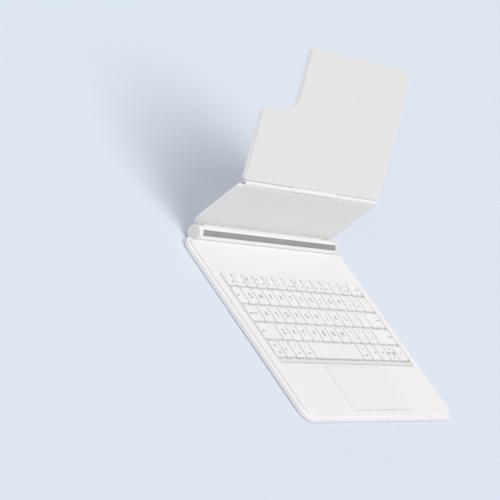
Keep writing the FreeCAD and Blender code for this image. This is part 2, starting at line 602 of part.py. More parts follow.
# Cells, controller board, socket, lamp and magnets inside the base
def make_inner_pieces():
    for label, left in (("battery_cell_left", "-" + CELL_OUT), ("battery_cell_right", CELL_IN)):
        keep(block(label, "%s - %s" % (CELL_OUT, CELL_IN), "%s - %s" % (PAD_BACK_Y, CELL_FRONT_Y),
                   "cell_thickness", left, CELL_FRONT_Y, "floor_thickness"), label)
    keep(block("main_board", "board_width", "board_depth", "board_thickness", "%s - board_width" % BOARD_RIGHT,
               "%s - board_depth / 2" % SOCKET_Y, "floor_thickness"), "main_board")
    shell = new_body("usb_c_socket", "base_width / 2", SOCKET_Y, "socket_height")
    outline = new_sketch(shell, "YZ_Plane", ("0", "0", "-" + CAVITY_SIDE))
    oblong(outline, "-socket_width / 2 + socket_gap", "socket_width / 2 - socket_gap",
           "-socket_tall / 2 + socket_gap", "socket_tall / 2 - socket_gap")
    pad(shell, outline, CAVITY_SIDE + " - edge_break")
    round_edges(shell, RIGHT, anywhere, "socket_tall / 2 - socket_shell")
    mouth = new_sketch(shell, "YZ_Plane")
    inner = "(socket_gap + socket_shell)"
    oblong(mouth, "-socket_width / 2 + %s" % inner, "socket_width / 2 - %s" % inner,
           "-socket_tall / 2 + %s" % inner, "socket_tall / 2 - %s" % inner)
    pocket(shell, mouth, CAVITY_SIDE + " - socket_shell")
    tongue = new_sketch(shell, "YZ_Plane", ("0", "0", "-" + CAVITY_SIDE))
    oblong(tongue, "-tongue_width / 2", "tongue_width / 2", "-tongue_thickness / 2", "tongue_thickness / 2")
    pad(shell, tongue, CAVITY_SIDE + " - edge_break - tongue_setback")
    keep(shell, "usb_c_socket")
    lamp = new_body("status_light", "base_width / 2", "%s - lamp_spacing" % SOCKET_Y, "socket_height")
    pipe = new_sketch(lamp, "YZ_Plane", ("0", "0", "-lamp_length"))
    circles(pipe, "lamp_radius - running_gap")
    pad(lamp, pipe, "lamp_length")
    keep(lamp, "status_light")
    membrane_back = "(%s - membrane_inset - bay_gap)" % WELL_BACK_Y
    keep(block("keyboard_flex", "flex_width", "%s - board_depth / 2 - %s" % (SOCKET_Y, membrane_back),
               "flex_thickness", "%s - flex_width / 2" % FLEX_X, membrane_back, "floor_thickness"),
         "keyboard_flex")
    magnets = [block("ClosingMagnet", "closer_width", "closer_depth", "closer_height", left,
                     "%s + %s + closer_setback" % (FRONT_Y, CAVITY_SIDE), "shelf_height")
               for left in ("closer_inset - base_width / 2", "base_width / 2 - closer_inset - closer_width")]
    group("closing_magnets", magnets)


# Hinge barrel: fixed core, end caps, turning sleeve and friction clips
def make_barrel():
    core = new_body("hinge_core", "0", HINGE_Y, "hinge_height")
    shaft = new_sketch(core, "YZ_Plane", ("0", "0", "-%s + lug_gap / 2" % LUG_IN))
    circles(shaft, CORE_RADIUS)
    pad(core, shaft, "2 * %s - lug_gap" % LUG_IN)
    pins = new_sketch(core, "YZ_Plane", ("0", "0", "-%s - pin_length" % LUG_IN))
    circles(pins, "pin_radius")
    pad(core, pins, "2 * (%s + pin_length)" % LUG_IN)
    for side in ("-", ""):
        groove_end = "%s%s + clip_width / 2 + running_gap" % (side, CLIP_X)
        groove = new_sketch(core, "YZ_Plane", ("0", "0", groove_end))
        circles(groove, GROOVE_RADIUS, "sleeve_radius")
        pocket(core, groove, "clip_width + 2 * running_gap")
    keep(core, "hinge_core")

    for label, side in (("hinge_end_cap_left", "-"), ("hinge_end_cap_right", "")):
        cap = new_body(label, "0", HINGE_Y, "hinge_height")
        disc = new_sketch(cap, "YZ_Plane", ("0", "0", "-%s / 2" % BARREL_WIDTH if side else LUG_OUT))
        circles(disc, "sleeve_radius")
        pad(cap, disc, "cap_thickness")
        bevel_face(cap, -RIGHT if side else RIGHT, "cap_bevel")
        keep(cap, label)

    sleeve = new_body("hinge_sleeve", "0", HINGE_Y, "hinge_height", "lower_lean")
    tube = new_sketch(sleeve, "YZ_Plane", ("0", "0", "-%s" % SLEEVE_HALF))
    circles(tube, "sleeve_radius - sleeve_wall", "sleeve_radius")
    pad(sleeve, tube, "2 * %s" % SLEEVE_HALF)
    web = new_sketch(sleeve, "YZ_Plane", ("0", "0", "foot_radius - %s / 2" % STAND_WIDTH))
    oblong(web, "sleeve_radius - sleeve_wall / 2", PANEL_OFFSET, "-panel_foot / 2", "panel_foot")
    pad(sleeve, web, "%s - 2 * foot_radius" % STAND_WIDTH)
    cut_slot(sleeve, SLEEVE_HALF, "slot_turn")
    keep(sleeve, "hinge_sleeve")

    clips = []
    for side in ("-", ""):
        clip = new_body("FrictionClip", side + CLIP_X, HINGE_Y, "hinge_height", "lower_lean")
        band = new_sketch(clip, "YZ_Plane", ("0", "0", "-clip_width / 2"))
        circles(band, "%s + running_gap" % GROOVE_RADIUS, "sleeve_radius - sleeve_wall - running_gap / 2")
        pad(clip, band, "clip_width")
        cut_slot(clip, "clip_width", "(slot_turn + 180)")
        clips.append(clip)
    group("friction_clips", clips)


def cut_slot(body, half_length, turn):
    """Open a tube along its length, in a direction given in degrees."""
    slot = new_sketch(body, "YZ_Plane", ("sleeve_radius * cos(%s * 1deg)" % turn,
                                         "sleeve_radius * sin(%s * 1deg)" % turn, half_length), turn)
    reach = "(sleeve_wall + running_gap + 2 * clip_depth)"
    oblong(slot, "-" + reach, reach, "-slot_width / 2", "slot_width / 2")
    pocket(body, slot, "2 * %s" % half_length)


# Stand panels
def panel_corners(low, high, inset, notched):
    """Corners of a panel's outline, seen from the front, drawn in by an inset."""
    half = "(%s / 2 - %s)" % (STAND_WIDTH, inset)
    low = "%s + %s" % (low, inset)
    high = "%s - %s" % (high, inset)
    corners = [("-" + half, low), (half, low), (half, high)]
    if notched:
        shelf = "%s - notch_height" % high
        side = "notch_width - " + half
        return corners + [(side, high), (side, shelf), ("-" + half, shelf)]
    return corners + [("-" + half, high)]


def panel_sheet(label, place, span, back, thickness, inset, radii):
    """A flat sheet with a panel's outline, drawn in by an inset, with each corner rounded."""
    notched = "inner" in radii
    body = new_body(label, *place)
    outline = new_sketch(body, "XZ_Plane", ("0", "0", "-(%s)" % back))
    polygon(outline, panel_corners(*span, inset, notched))
    pad(body, outline, thickness)
    corners = {kind: [] for kind in radii}
    places = [edge.CenterOfMass for edge in straight_edges(body.Tip.Shape, BACK)]
    low = min(point.z for point in places)
    left = min(point.x for point in places)
    top = max(point.z for point in places)
    for point in places:
        if point.z < low + SAME_PLACE:
            corners["bottom"].append(point)
        elif not notched or point.x > left + size("notch_width") + SAME_PLACE:
            corners["top"].append(point)
        elif point.x > left + SAME_PLACE and point.z < top - SAME_PLACE:
            corners["inner"].append(point)
        else:
            corners["ends"].append(point)
    for kind, points in corners.items():
        radius = "%s + %s" % (radii[kind], inset)
        if kind != "inner":
            radius = "max(%s - %s; skin_corner / 2)" % (radii[kind], inset)
        round_edges(body, BACK, lambda point: is_near(point, points), radius)
    return body


def make_panel(prefix, place, span, front, radii):
    """Make a panel's frame, the sheet let into its back and the lining on its front."""
    lining_back = "(%s + inner_skin)" % front
    back = "(%s + panel_thickness)" % front
    frame = panel_sheet("PanelBlank", place, span, back, "panel_thickness - inner_skin", "0", radii)
    bevel_face(frame, BACK, "edge_break")
    if "inner" in radii:
        cut_magnet_seats(frame, lining_back)
    recess = panel_sheet("PanelRecess", place, span, back, "skin_thickness", "skin_inset", radii)
    cut_piece(prefix + "_panel_frame", frame, recess)
    keep(panel_sheet(prefix + "_outer_skin", place, span, back, "skin_thickness",
                     "(skin_inset + skin_gap)", radii), prefix + "_outer_skin")
    keep(panel_sheet(prefix + "_inner_skin", place, span, lining_back, "inner_skin", "0", radii),
         prefix + "_inner_skin")


def magnet_places():
    """Lowest corners of the tablet magnets, across and up the upper panel."""
    reach = "(%s / 2 - magnet_inset - magnet_width / 2)" % STAND_WIDTH
    return [("%d * %s - magnet_width / 2" % (step, reach), "magnet_rise - magnet_height / 2")
            for step in (-1, 0, 1)]


def cut_magnet_seats(frame, inner):
    for x, z in magnet_places():
        seat = new_sketch(frame, "XZ_Plane", ("0", "0", "-(%s)" % inner))
        oblong(seat, "%s - bay_gap" % x, "%s + magnet_width + bay_gap" % x,
               "%s - bay_gap" % z, "%s + magnet_height + bay_gap" % z)
        pocket(frame, seat, "magnet_depth")


def make_stand():
    lower_place = ("0", HINGE_Y, "hinge_height", "lower_lean")
    make_panel("lower", lower_place, ("-panel_foot", "lower_length - %s" % FOLD_GAP), PANEL_OFFSET,
               {"bottom": "foot_radius", "top": "fold_corner"})
    upper_place = ("0", FOLD_Y, FOLD_Z, "-upper_lean")
    make_panel("upper", upper_place, (FOLD_GAP, "upper_length"), "(-panel_thickness / 2)",
               {"bottom": "fold_corner", "top": "top_radius", "inner": "notch_radius", "ends": "notch_ends"})
    magnets = []
    for x, z in magnet_places():
        magnets.append(block("TabletMagnet", "magnet_width", "magnet_depth", "magnet_height", x,
                             "inner_skin - panel_thickness / 2", z))
    bind_place(group("tablet_magnets", magnets), *upper_place)


# Fold hinge: two leaves with knuckles in turn on one pin
LOWER_KNUCKLES = (-1, 1)
UPPER_KNUCKLES = (0,)
KNUCKLES = len(LOWER_KNUCKLES + UPPER_KNUCKLES)


def make_fold():
    lower_turn = ("0", FOLD_Y, FOLD_Z, "lower_lean")
    upper_turn = ("0", FOLD_Y, FOLD_Z, "-upper_lean")
    length = "(%s - 2 * fold_corner)" % STAND_WIDTH
    span = "(%s / %d)" % (length, KNUCKLES)
    for label, place, side, steps in (("fold_lower_leaf", lower_turn, "-", LOWER_KNUCKLES),
                                      ("fold_upper_leaf", upper_turn, "", UPPER_KNUCKLES)):
        leaf = new_body(label, *place)
        strip = new_sketch(leaf, "YZ_Plane", ("0", "0", "-%s / 2" % length))
        oblong(strip, "-leaf_width / 2", "leaf_width / 2", "%s(%s - leaf_strip)" % (side, FOLD_GAP),
               side + FOLD_GAP)
        pad(leaf, strip, length)
        for step in steps:
            start = "%d * %s - %s / 2 + knuckle_gap / 2" % (step, span, span)
            web = new_sketch(leaf, "YZ_Plane", ("0", "0", start))
            oblong(web, "-leaf_width / 2", "leaf_width / 2", "0", "%s(%s - leaf_strip / 2)" % (side, FOLD_GAP))
            pad(leaf, web, "%s - knuckle_gap" % span)
            knuckle = new_sketch(leaf, "YZ_Plane", ("0", "0", start))
            circles(knuckle, "knuckle_radius")
            pad(leaf, knuckle, "%s - knuckle_gap" % span)
        bore = new_sketch(leaf, "YZ_Plane", ("0", "0", "%s / 2" % length))
        circles(bore, "fold_pin_radius + running_gap")
        pocket(leaf, bore, length)
        keep(leaf, label)
    pin = new_body("fold_pin", *lower_turn)
    wire = new_sketch(pin, "YZ_Plane", ("0", "0", "-%s / 2" % length))
    circles(wire, "fold_pin_radius")
    pad(pin, wire, length)
    keep(pin, "fold_pin")


def write_pieces():
    """Check every object and every piece, then write one file for each piece."""
    doc.recompute()
    failed = [item.Label for item in doc.Objects if "Invalid" in item.State or "Error" in item.State]
    if failed:
        raise RuntimeError("failed objects: " + ", ".join(failed))
    os.makedirs("parts", exist_ok=True)
    for piece in PIECES:
        if piece.Shape.isNull() or not piece.Shape.isValid():
            raise RuntimeError("bad shape: " + piece.Label)
        piece.Shape.exportStep("parts/%s.step" % piece.Label)
        print(piece.Label, len(piece.Shape.Solids), round(piece.Shape.Volume, 1))


make_tray()
make_deck()
make_key_plate(make_keys())
make_trackpad()
make_inner_pieces()
make_barrel()
make_stand()
make_fold()
write_pieces()
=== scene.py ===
# %% [markdown]
# # Tablet keyboard case with a floating stand
# The case is a thin white keyboard base, a hinge barrel along its back and a stand of two panels.
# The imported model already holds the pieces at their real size, so this lesson dresses them: softer edges
# where a piece is moulded or wrapped, a rim round the keys, printed legends, finishes, light and camera.

# %% Load the frame
import json
import math

import bmesh
import bpy
from mathutils import Matrix, Vector


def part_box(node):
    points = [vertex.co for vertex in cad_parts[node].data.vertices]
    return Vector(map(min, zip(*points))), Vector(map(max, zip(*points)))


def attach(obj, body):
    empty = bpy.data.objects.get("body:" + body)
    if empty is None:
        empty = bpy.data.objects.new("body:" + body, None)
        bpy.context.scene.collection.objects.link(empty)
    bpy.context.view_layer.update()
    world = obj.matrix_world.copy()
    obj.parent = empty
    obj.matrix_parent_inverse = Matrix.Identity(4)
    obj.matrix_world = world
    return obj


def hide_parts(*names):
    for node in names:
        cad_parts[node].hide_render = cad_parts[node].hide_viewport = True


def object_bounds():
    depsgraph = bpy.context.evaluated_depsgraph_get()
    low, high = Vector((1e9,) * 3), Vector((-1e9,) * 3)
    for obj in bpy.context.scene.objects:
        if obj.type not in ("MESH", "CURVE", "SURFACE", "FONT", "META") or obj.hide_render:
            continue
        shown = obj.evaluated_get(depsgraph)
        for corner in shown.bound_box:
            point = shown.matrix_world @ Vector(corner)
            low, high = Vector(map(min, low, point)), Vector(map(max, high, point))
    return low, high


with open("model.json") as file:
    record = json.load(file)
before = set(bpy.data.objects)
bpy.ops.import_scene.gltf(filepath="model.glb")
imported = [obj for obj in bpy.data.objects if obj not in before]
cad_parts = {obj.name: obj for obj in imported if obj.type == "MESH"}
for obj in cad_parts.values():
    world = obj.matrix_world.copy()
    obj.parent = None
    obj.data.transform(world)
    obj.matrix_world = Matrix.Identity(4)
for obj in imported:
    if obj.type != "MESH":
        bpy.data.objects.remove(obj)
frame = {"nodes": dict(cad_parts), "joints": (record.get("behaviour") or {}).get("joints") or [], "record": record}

CAD_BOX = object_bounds()
MM = 0.001
NODES = frame["nodes"]
JOINTS = {joint["name"]: joint for joint in frame["joints"]}

# %% [markdown]
# ## Finishes
# Nearly every surface that shows is white, so what tells the pieces apart is how each was made.
# A wrapped sheet has a soft pebbled grain, a moulded edge has a finer spark-eroded grain, a key cap is
# satin and a trackpad is smoother still. A flat colour would lose that, so each material is a small
# tree of noise: a broad one for uneven colour, and a fine one for roughness and bump.

# %% Colour and node helpers
def linear(code):
    """Turn an sRGB hex code into the linear colour that shaders use, with full alpha."""
    shares = [int(code[place:place + 2], 16) / 255 for place in (1, 3, 5)]
    return [s / 12.92 if s <= 0.04045 else ((s + 0.055) / 1.055) ** 2.4 for s in shares] + [1.0]


def add_node(tree, kind, inputs=None, **settings):
    """Add a shader node, set its properties, and fill or link its inputs."""
    node = tree.nodes.new(kind)
    for name, value in settings.items():
        setattr(node, name, value)
    for name, value in (inputs or {}).items():
        if isinstance(value, bpy.types.NodeSocket):
            tree.links.new(value, node.inputs[name])
        else:
            node.inputs[name].default_value = value
    return node


# %% A grained finish
CLOUD_MM = 38.0
CLOUD_DETAIL = 3.0
GRAIN_DETAIL = 4.0
GRAIN_ROUGHNESS = 0.6
# Most of the noise lies between these values
GRAIN_LOW = 0.3
GRAIN_HIGH = 0.7
# A mix node has a set of sockets for each kind of value, and these are the ones for colour
COLOUR_A = 6
COLOUR_B = 7
COLOUR_RESULT = 2


def grained(name, light, dark, grain_mm, relief_mm, rough, stretch=(1, 1, 1), **sockets):
    """A finish with a faint uneven colour and a fine grain in its roughness and bump."""
    material = bpy.data.materials.new(name)
    material.use_nodes = True
    tree = material.node_tree
    shader = tree.nodes["Principled BSDF"]
    place = add_node(tree, "ShaderNodeTexCoord").outputs["Object"]
    drawn = add_node(tree, "ShaderNodeMapping", {"Vector": place, "Scale": stretch}).outputs["Vector"]
    cloud = add_node(tree, "ShaderNodeTexNoise", {
        "Vector": place, "Scale": 1 / (CLOUD_MM * MM), "Detail": CLOUD_DETAIL})
    grain = add_node(tree, "ShaderNodeTexNoise", {
        "Vector": drawn, "Scale": 1 / (grain_mm * MM), "Detail": GRAIN_DETAIL, "Roughness": GRAIN_ROUGHNESS})
    tone = add_node(tree, "ShaderNodeMix", {"Factor": cloud.outputs["Fac"]}, data_type="RGBA")
    tone.inputs[COLOUR_A].default_value = linear(light)
    tone.inputs[COLOUR_B].default_value = linear(dark)
    sheen = add_node(tree, "ShaderNodeMapRange", {
        "Value": grain.outputs["Fac"], "From Min": GRAIN_LOW, "From Max": GRAIN_HIGH,
        "To Min": rough[0], "To Max": rough[1]})
    bump = add_node(tree, "ShaderNodeBump", {
        "Height": grain.outputs["Fac"], "Distance": relief_mm * MM, "Strength": 1.0})
    tree.links.new(tone.outputs[COLOUR_RESULT], shader.inputs["Base Color"])
    tree.links.new(sheen.outputs["Result"], shader.inputs["Roughness"])
    tree.links.new(bump.outputs["Normal"], shader.inputs["Normal"])
    for socket, value in sockets.items():
        shader.inputs[socket.replace("_", " ")].default_value = value
    return material


# %% [markdown]
# The grain of the real wrap is about half a millimetre, finer than a pixel of this picture.
# It is drawn about three times as coarse, so that the surface still reads as soft and not as paper.
# Moulded, etched, printed and plated surfaces have a finer grain still. For the same reason theirs is
# drawn at half a millimetre to a little over one.

# %% The white finishes
# Polyurethane wrap: soft-touch, matt, with a pebbled emboss that breaks up reflections
SOFT_TOUCH = grained("polyurethane_soft_touch", "#F3F2F2", "#EFEDEE", grain_mm=1.5, relief_mm=0.05,
                     rough=(0.50, 0.66), Sheen_Weight=0.08, IOR=1.48)
# Moulded polycarbonate: spark-eroded texture, a little glossier than the wrap
MOULDED = grained("polycarbonate_moulded_white", "#F4F3F3", "#F0EFEF", grain_mm=1.0, relief_mm=0.025,
                  rough=(0.36, 0.48), IOR=1.58)
# Barrel ends and key rim: the same plastic, greyed as a painted shade
PAINTED_SHADE_GREY = grained("polycarbonate_moulded_painted_shade_grey", "#E9E7E7", "#E5E3E3", grain_mm=1.0, relief_mm=0.025,
                     rough=(0.40, 0.52), IOR=1.58)
# Key caps: moulded acrylic-styrene with a satin top that fingers slide on
KEY_CAP = grained("acrylic_styrene_key_white", "#F7F5F6", "#F4F2F3", grain_mm=0.9, relief_mm=0.012,
                  rough=(0.34, 0.44), IOR=1.54)
# Key bed: matt moulded plate in the shade of the caps
KEY_BED = grained("moulded_key_bed_white", "#F6F4F6", "#F2F0F2", grain_mm=1.2, relief_mm=0.02,
                  rough=(0.55, 0.65), IOR=1.54)
# Trackpad: etched glass with white paint behind it
ETCHED_GLASS = grained("etched_glass_trackpad", "#F5F4F4", "#F3F2F2", grain_mm=0.8, relief_mm=0.001,
                       rough=(0.34, 0.38), IOR=1.52, Coat_Weight=0.15, Coat_Roughness=0.3)
# Microfibre lining: short brushed nap, drawn along the width, with a soft sheen; its grey is partly painted shade
MICROFIBRE_PAINTED_SHADE = grained("microfibre_lining_painted_shade", "#E4E3E2", "#DEDDDC", grain_mm=1.1, relief_mm=0.06,
                     rough=(0.78, 0.92), stretch=(0.45, 1, 1), Sheen_Weight=0.35, Sheen_Roughness=0.5)
# Legend ink: pad-printed grey, matt
LEGEND_INK = grained("pad_print_grey_ink", "#77757A", "#6C6A6F", grain_mm=0.8, relief_mm=0.004,
                     rough=(0.55, 0.65))
print("white finishes and ink made")

# %% [markdown]
# ## Finishes of the metal, the socket and what lies inside
# The core that shows in the slot of the barrel is a grey anodised shaft, turned on a lathe, so its fine
# marks run round the axis: the noise is squeezed along the axis and drawn out round it. Pieces inside
# the base are not seen, but they have the finish of what they are, for when the model is opened.

# %% The other finishes
# Anodised shaft: satin grey with fine turning marks
HINGE_GREY = grained("anodised_aluminium_grey", "#A3A1A3", "#9B999B", grain_mm=0.7, relief_mm=0.01,
                     rough=(0.45, 0.55), stretch=(3, 0.3, 0.3), Metallic=0.25)
# Phosphated spring steel: dull, in the grey of the shaft
SPRING_STEEL = grained("phosphated_spring_steel", "#A09EA0", "#989698", grain_mm=0.5, relief_mm=0.005,
                       rough=(0.45, 0.55), Metallic=0.25)
# Nickel plate: bright and a little warm
NICKEL = grained("nickel_plated_magnet", "#C9C6BF", "#BDBAB2", grain_mm=0.9, relief_mm=0.004,
                 rough=(0.18, 0.28), Metallic=1.0)
# Glass epoxy board: green solder mask over fine weave
BOARD_GREEN = grained("glass_epoxy_board", "#2E6B45", "#275E3C", grain_mm=0.8, relief_mm=0.01,
                      rough=(0.35, 0.5))
# Cell pouch: slightly crumpled metal foil
CELL_FOIL = grained("laminated_cell_foil", "#B6B9BD", "#A8ABB0", grain_mm=6.0, relief_mm=0.05,
                    rough=(0.3, 0.45), Metallic=0.8)
# Polyester sheet: smooth and cool
POLYESTER = grained("polyester_membrane", "#D9DEE2", "#CBD2D8", grain_mm=2.0, relief_mm=0.01,
                    rough=(0.3, 0.4))
# Socket: black liquid crystal polymer, finely moulded
SOCKET_BLACK = grained("liquid_crystal_polymer_black", "#1B1B1D", "#141416", grain_mm=0.6, relief_mm=0.01,
                       rough=(0.35, 0.5))
# Lamp lens: milky polycarbonate with a warm tint
LAMP_LENS = grained("polycarbonate_lamp_lens", "#EBD7D6", "#E4CBCB", grain_mm=0.6, relief_mm=0.004,
                    rough=(0.2, 0.3), Transmission_Weight=0.25)
print("other finishes made")

# %% [markdown]
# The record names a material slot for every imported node. A table from slot to finish dresses them all,
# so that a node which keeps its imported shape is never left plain.

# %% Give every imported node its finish
FINISH_OF_SLOT = {
    "moulded_white": MOULDED, "soft_touch_white": SOFT_TOUCH, "lining": MICROFIBRE_PAINTED_SHADE, "key_white": KEY_CAP,
    "key_bed": KEY_BED, "trackpad_white": ETCHED_GLASS, "hinge_grey": HINGE_GREY,
    "spring_steel": SPRING_STEEL, "magnet": NICKEL, "circuit_board": BOARD_GREEN, "cell_foil": CELL_FOIL,
    "membrane": POLYESTER, "socket_black": SOCKET_BLACK, "lamp_lens": LAMP_LENS,
}
SLOT_OF_NODE = {part["node"]: part["material_slot"] for part in frame["record"]["subparts"]}
for name, node in NODES.items():
    node.data.materials.clear()
    node.data.materials.append(FINISH_OF_SLOT[SLOT_OF_NODE[name]])
print("dressed nodes:", len(NODES))

# %% [markdown]
# ## Plates with soft edges
# The panels, the deck, the sheets, the trackpad and the key caps are all flat plates with rounded corners
# and rolled edges. A cube with a bevel can't hold different corner radii, a window or a pocket. So a
# plate is made of rings: one outline, grown or shrunk a little and lifted, is bridged to the next, and
# the steps of a quarter round give the rolled edge. A face that has a window or a pocket in it is then
# filled between the rings.

# %% Outlines
CORNER_STEPS = 8
LEAST_RADIUS = 0.3 * MM


def oblong(left, right, low, high, radius):
    """Corners of a rectangle, each with its radius."""
    return [(left, low, radius), (right, low, radius), (right, high, radius), (left, high, radius)]


def grown(outline, amount):
    """An outline of square corners with every side moved outwards, and its corner radii to suit."""
    result = []
    for index, (x, y, radius) in enumerate(outline):
        here = Vector((x, y))
        before = (here - Vector(outline[index - 1][:2])).normalized()
        after = (Vector(outline[(index + 1) % len(outline)][:2]) - here).normalized()
        turn = before.cross(after)
        result.append((x + amount * (before.y + after.y), y - amount * (before.x + after.x),
                       max(radius + turn * amount, LEAST_RADIUS)))
    return result


def rounded_face(bm, outline, height):
    """Add a level face and round its corners."""
    points = [bm.verts.new((x, y, height)) for x, y, radius in outline]
    bm.faces.new(points)
    radii = [radius for x, y, radius in outline]
    for radius in sorted(set(radii)):
        picked = [point for point, own in zip(points, radii) if own == radius]
        rounded = bmesh.ops.bevel(bm, geom=picked, affect="VERTICES", offset=radius, segments=CORNER_STEPS,
                                  profile=0.5, material=-1)
    return rounded["verts"][0].link_faces[0]


# %% Walls
EDGE_STEPS = 3
# A wall is the outer edge of a plate, or the edge of a hole, where a rolled edge leans the other way
OUTER = 1
INNER = -1


def quarter_round(radius):
    """Steps of a rolled edge: how far in from the side, and how far from the face."""
    turns = [math.pi / 2 * step / EDGE_STEPS for step in range(EDGE_STEPS + 1)] if radius else [math.pi / 2]
    return [(radius * (1 - math.sin(turn)), radius * (1 - math.cos(turn))) for turn in turns]


def wall(bm, outline, low, high, rolls, side, draft=0.0):
    """Bridge rings into a wall with rolled edges, and give back the faces that close it below and above."""
    steps = [(-side * inset, low + rise) for inset, rise in quarter_round(rolls[0])]
    steps += [(-side * (inset + draft), high - rise) for inset, rise in reversed(quarter_round(rolls[1]))]
    rings = [rounded_face(bm, grown(outline, grow), height) for grow, height in steps]
    for near, far in zip(rings, rings[1:]):
        bmesh.ops.bridge_loops(bm, edges=near.edges[:] + far.edges[:])
    bmesh.ops.delete(bm, geom=rings[1:-1], context="FACES_ONLY")
    return rings[0], rings[-1]


# %% Plates
def fill_between(bm, faces):
    """Put a face with holes in place of an outer face and the faces of its holes."""
    edges = [edge for face in faces for edge in face.edges]
    bmesh.ops.delete(bm, geom=faces, context="FACES_ONLY")
    bmesh.ops.triangle_fill(bm, use_beauty=True, edges=edges, normal=(0, 0, 1))


def plate(outline, low, high, rolls, windows=(), pocket=None, draft=0.0):
    """A plate with rolled edges, windows that are rolled above, or a pocket in its lower face."""
    bm = bmesh.new()
    under, top = wall(bm, outline, low, high, rolls, OUTER, draft)
    if windows:
        holes = [wall(bm, window, low, high, (0, roll), INNER) for window, roll in windows]
        fill_between(bm, [under] + [hole[0] for hole in holes])
        fill_between(bm, [top] + [hole[1] for hole in holes])
    if pocket:
        pocket_outline, depth = pocket
        mouth = wall(bm, pocket_outline, low, low + depth, (0, 0), INNER)[0]
        fill_between(bm, [under, mouth])
    bmesh.ops.recalc_face_normals(bm, faces=bm.faces[:])
    return bm


# %% [markdown]
# Every finished piece goes through one function: it shades the mesh evenly, gives it a finish, lets it
# ride on its body, and hides the imported nodes it stands for.

# %% Finishing a piece
SHARP_TURN = math.radians(40)


def new_piece(name, bm, finish, body, stands_for=(), place=Matrix.Identity(4)):
    """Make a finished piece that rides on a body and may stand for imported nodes."""
    bmesh.ops.transform(bm, matrix=place, verts=bm.verts[:])
    loose = sum(not edge.is_manifold for edge in bm.edges)
    mesh = bpy.data.meshes.new(name)
    for face in bm.faces:
        face.smooth = True
        face.material_index = 0
    bm.to_mesh(mesh)
    bm.free()
    mesh.set_sharp_from_angle(angle=SHARP_TURN)
    mesh.materials.append(finish)
    piece = bpy.data.objects.new(name, mesh)
    bpy.context.scene.collection.objects.link(piece)
    evened = piece.modifiers.new("even_shading", "WEIGHTED_NORMAL")
    evened.keep_sharp = True
    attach(piece, body)
    if stands_for:
        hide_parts(*stands_for)
    print(name, "faces:", len(mesh.polygons), "open edges:", loose)


# %% [markdown]
# ## Deck, trackpad and underside
# The deck is one wrapped plate with two windows: the key well and the trackpad. Its outer edge is
# rolled, but at the back it runs square up to the barrel, so the plate is made too long and cut there.
# The trackpad stands a hair proud of it in a fine groove, so its near edges draw two thin lines.

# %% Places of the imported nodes
def outline_of(node, radius):
    """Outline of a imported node's box, seen from above."""
    low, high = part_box(node)
    return oblong(low[0], high[0], low[1], high[1], radius)


def heights_of(node):
    """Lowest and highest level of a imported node."""
    low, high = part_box(node)
    return low[2], high[2]


# %% Make the deck
DECK_ROLL = 0.7 * MM
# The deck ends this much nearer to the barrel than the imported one
DECK_REACH = 0.8 * MM
DECK_FRONT_RADIUS = 9.4 * MM
DECK_BACK_RADIUS = 4.7 * MM
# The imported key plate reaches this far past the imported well, all round
WELL_BORDER = 3.0 * MM
WELL_RADIUS = 3.0 * MM
WELL_ROLL = 0.3 * MM
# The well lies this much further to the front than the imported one
WELL_FORWARD = 0.8 * MM
PAD_RADIUS = 2.5 * MM
PAD_GAP = 0.4 * MM
PAD_ROLL = 0.08 * MM
deck_outline = outline_of("deck_cover", DECK_FRONT_RADIUS)
deck_back = deck_outline[2][1] + DECK_REACH
deck_outline[2:] = [(x, deck_back + DECK_ROLL, DECK_BACK_RADIUS) for x, y, radius in deck_outline[2:]]
well_outline = grown(outline_of("key_plate", WELL_RADIUS + WELL_BORDER), -WELL_BORDER)
well_outline = [(x, y - WELL_FORWARD, radius) for x, y, radius in well_outline]
pad_outline = outline_of("trackpad_surface", PAD_RADIUS)
deck = plate(deck_outline, *heights_of("deck_cover"), (0, DECK_ROLL),
             [(well_outline, WELL_ROLL), (grown(pad_outline, PAD_GAP), PAD_ROLL)])
cut = bmesh.ops.bisect_plane(deck, geom=deck.verts[:] + deck.edges[:] + deck.faces[:],
                             plane_co=(0, deck_back, 0), plane_no=(0, 1, 0), clear_outer=True)
cut_edges = [part for part in cut["geom_cut"] if isinstance(part, bmesh.types.BMEdge)]
bmesh.ops.edgenet_fill(deck, edges=cut_edges)
bmesh.ops.recalc_face_normals(deck, faces=deck.faces[:])
new_piece("deck", deck, SOFT_TOUCH, "base", ["deck_cover"])

# %% Make the trackpad and the under sheet
PAD_LIFT = 0.3 * MM
SKIN_ROLL = 0.15 * MM
pad_low, pad_high = heights_of("trackpad_surface")
pad = plate(pad_outline, pad_low, pad_high + PAD_LIFT, (0, PAD_ROLL))
new_piece("trackpad_glass", pad, ETCHED_GLASS, "trackpad", ["trackpad_surface"])
under_outline = outline_of("base_under_skin", DECK_FRONT_RADIUS)
under_sheet = plate(under_outline, *heights_of("base_under_skin"), (SKIN_ROLL, 0))
new_piece("under_sheet", under_sheet, SOFT_TOUCH, "base", ["base_under_skin"])

# %% [markdown]
# ## Stand panels
# Each panel is a moulded frame with a wrapped sheet let into its back, so a fine seam runs all round
# a few millimetres from the edge, and a brushed lining on its front. The plates are made lying down,
# where an outline is easy to give, and then stood up on the hinge or the fold, with their lower face
# turned to the back.

# %% Where the panels stand
LOWER_LEAN = math.radians(6)
UPPER_LEAN = math.radians(-35)
HINGE = Vector(JOINTS["base_hinge"]["pos_m"])
FOLD = Vector(JOINTS["fold_hinge"]["pos_m"])
LOWER_PLACE = Matrix.Translation(HINGE) @ Matrix.Rotation(LOWER_LEAN, 4, "X")
UPPER_PLACE = Matrix.Translation(FOLD) @ Matrix.Rotation(UPPER_LEAN, 4, "X")
STAND_UP = Matrix.Rotation(math.radians(90), 4, "X")
print("hinge:", tuple(HINGE), "fold:", tuple(FOLD))

# %% One panel
PANEL_THICKNESS = 4.0 * MM
PANEL_ROLL = 0.9 * MM
LINING = 0.6 * MM
LINING_ROLL = 0.35 * MM
SKIN_INSET = 3.6 * MM
